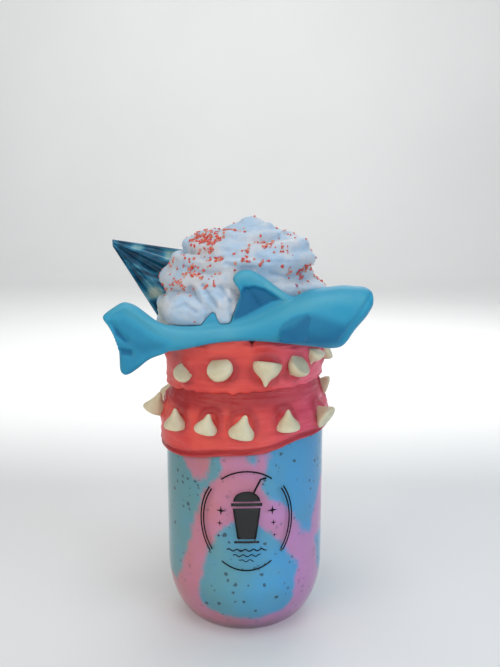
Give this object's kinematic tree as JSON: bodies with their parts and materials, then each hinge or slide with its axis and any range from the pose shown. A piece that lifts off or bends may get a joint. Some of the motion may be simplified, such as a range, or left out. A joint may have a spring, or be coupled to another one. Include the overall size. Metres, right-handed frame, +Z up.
{
  "type": "milkshake in a glass jar",
  "caption": "Two-colour milkshake in a round-bottomed glass jar, topped with an icing collar, white candy teeth, whipped cream, a gummy shark and a pleated candy sheet.",
  "frame": {"origin": "centre of the jar's foot, on the face that it rests on", "axes": "+Z up along the jar, -Y towards the front that the shark lies across, +X towards the shark's head"},
  "size_m": [0.1244, 0.1007, 0.2063],
  "materials": {
    "clear_glass": "clear pressed glass, polished",
    "milkshake": "thick shake swirled in pink and pale blue, with dark specks",
    "icing": "coral red icing spread with a knife, satin",
    "cream": "piped whipped cream, soft satin, with red sugar sprinkles",
    "gummy": "soft teal-blue gummy, satin",
    "glossy_candy": "thin dark blue candy sheet, glossy",
    "white_drop": "ivory white candy drop, satin"
  },
  "bodies": {
    "root": {"jar": "clear_glass", "milkshake": "milkshake", "icing": "icing", "whipped_cream": "cream", "shark": "gummy", "candy_fan": "glossy_candy", "tooth_upper_01": "white_drop", "tooth_upper_02": "white_drop", "tooth_upper_03": "white_drop", "tooth_upper_04": "white_drop", "tooth_upper_05": "white_drop", "tooth_upper_06": "white_drop", "tooth_upper_07": "white_drop", "tooth_upper_08": "white_drop", "tooth_upper_09": "white_drop", "tooth_upper_10": "white_drop", "tooth_upper_11": "white_drop", "tooth_upper_12": "white_drop", "tooth_upper_13": "white_drop", "tooth_lower_01": "white_drop", "tooth_lower_02": "white_drop", "tooth_lower_03": "white_drop", "tooth_lower_04": "white_drop", "tooth_lower_05": "white_drop", "tooth_lower_06": "white_drop", "tooth_lower_07": "white_drop", "tooth_lower_08": "white_drop", "tooth_lower_09": "white_drop", "tooth_lower_10": "white_drop", "tooth_lower_11": "white_drop", "tooth_lower_12": "white_drop"}
  },
  "joints": []
}
